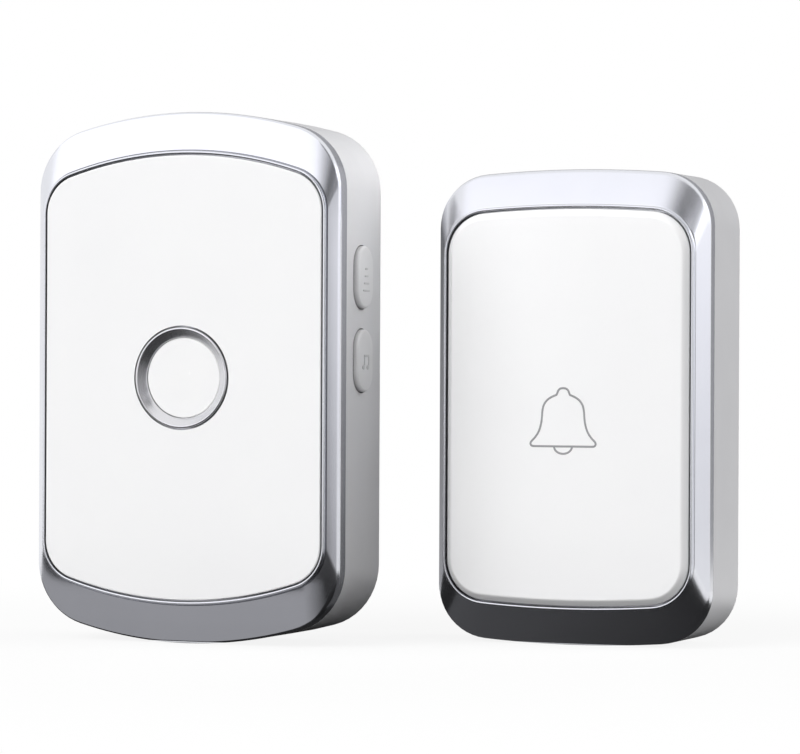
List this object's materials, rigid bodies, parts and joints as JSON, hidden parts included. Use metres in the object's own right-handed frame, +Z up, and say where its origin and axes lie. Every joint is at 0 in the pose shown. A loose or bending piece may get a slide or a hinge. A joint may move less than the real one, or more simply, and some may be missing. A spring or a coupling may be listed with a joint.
{
  "type": "wireless doorbell",
  "caption": "Wireless doorbell set: a bowed battery chime with a round indicator and side keys, and a smaller push unit whose whole white front presses.",
  "frame": {"origin": "on the surface that the set stands on, under the middle of the set's box", "axes": "+X to the right as seen from the front, along the row of the two units; +Y to the back; +Z up"},
  "size_m": [0.1228, 0.049, 0.098],
  "materials": {
    "case_grey": "fine satin moulded plastic, light grey",
    "bezel_silver": "silver plated plastic, satin",
    "panel_white": "polished white acrylic",
    "ring_silver": "turned silver plating",
    "lens_white": "white light-spreading plastic",
    "lamp": "clear resin over a pale lamp",
    "board": "green solder mask",
    "black_parts": "moulded black plastic",
    "cone_film": "thin black film",
    "steel": "bright plated steel",
    "magnet": "nickel plated magnet",
    "copper": "lacquered copper wire",
    "cell": "plain printed sleeve",
    "seal": "soft black rubber"
  },
  "bodies": {
    "housings": {"chime_case": "case_grey", "push_case": "case_grey", "chime_bezel": "bezel_silver", "push_bezel": "bezel_silver", "chime_panel": "panel_white", "indicator_ring": "ring_silver", "indicator_lens": "lens_white", "indicator_leds": "lamp", "chime_board": "board", "push_board": "board", "sound_chip": "black_parts", "encoder_chip": "black_parts", "capacitor": "black_parts", "volume_switch_body": "black_parts", "melody_switch_body": "black_parts", "push_switch_body": "black_parts", "speaker_cone": "cone_film", "radio_module": "steel", "resonator": "steel", "speaker_frame": "steel", "chime_contacts": "steel", "chime_springs": "steel", "push_contacts": "steel", "push_spring": "steel", "chime_case_screws": "steel", "chime_board_screws": "steel", "push_case_screws": "steel", "push_board_screws": "steel", "speaker_magnet": "magnet", "antenna_coil": "copper", "chime_cells": "cell", "push_cell": "cell", "cover_seal": "seal"},
    "volume_key": {"volume_button": "case_grey"},
    "volume_plunger": {"volume_switch_plunger": "steel"},
    "melody_key": {"melody_button": "case_grey"},
    "melody_plunger": {"melody_switch_plunger": "steel"},
    "push_plate": {"push_panel": "panel_white"},
    "push_plunger": {"push_switch_plunger": "steel"},
    "bay_lid": {"battery_lid": "case_grey"},
    "rear_cover": {"back_cover": "case_grey"}
  },
  "joints": [
    {"name": "volume_press", "type": "slide", "parent": "housings", "child": "volume_key", "axis": [-1, 0, 0], "range_m": [0, 0.0006], "stiffness_N_per_m": 2000},
    {"name": "volume_switch_travel", "type": "slide", "parent": "housings", "child": "volume_plunger", "axis": [-1, 0, 0], "range_m": [0, 0.0006]},
    {"name": "melody_press", "type": "slide", "parent": "housings", "child": "melody_key", "axis": [-1, 0, 0], "range_m": [0, 0.0006], "stiffness_N_per_m": 2000},
    {"name": "melody_switch_travel", "type": "slide", "parent": "housings", "child": "melody_plunger", "axis": [-1, 0, 0], "range_m": [0, 0.0006]},
    {"name": "push_press", "type": "slide", "parent": "housings", "child": "push_plate", "axis": [0, 1, 0], "range_m": [0, 0.0008], "stiffness_N_per_m": 2500},
    {"name": "push_switch_travel", "type": "slide", "parent": "housings", "child": "push_plunger", "axis": [0, 1, 0], "range_m": [0, 0.0008]},
    {"name": "battery_lid_lift", "type": "slide", "parent": "housings", "child": "bay_lid", "axis": [0, 1, 0], "range_m": [0, 0.02]},
    {"name": "back_cover_pull", "type": "slide", "parent": "housings", "child": "rear_cover", "axis": [0, 1, 0], "range_m": [0, 0.02]}
  ],
  "couplings": [
    {"joint": "volume_switch_travel", "follows": "volume_press", "ratio": 1},
    {"joint": "melody_switch_travel", "follows": "melody_press", "ratio": 1},
    {"joint": "push_switch_travel", "follows": "push_press", "ratio": 1}
  ]
}
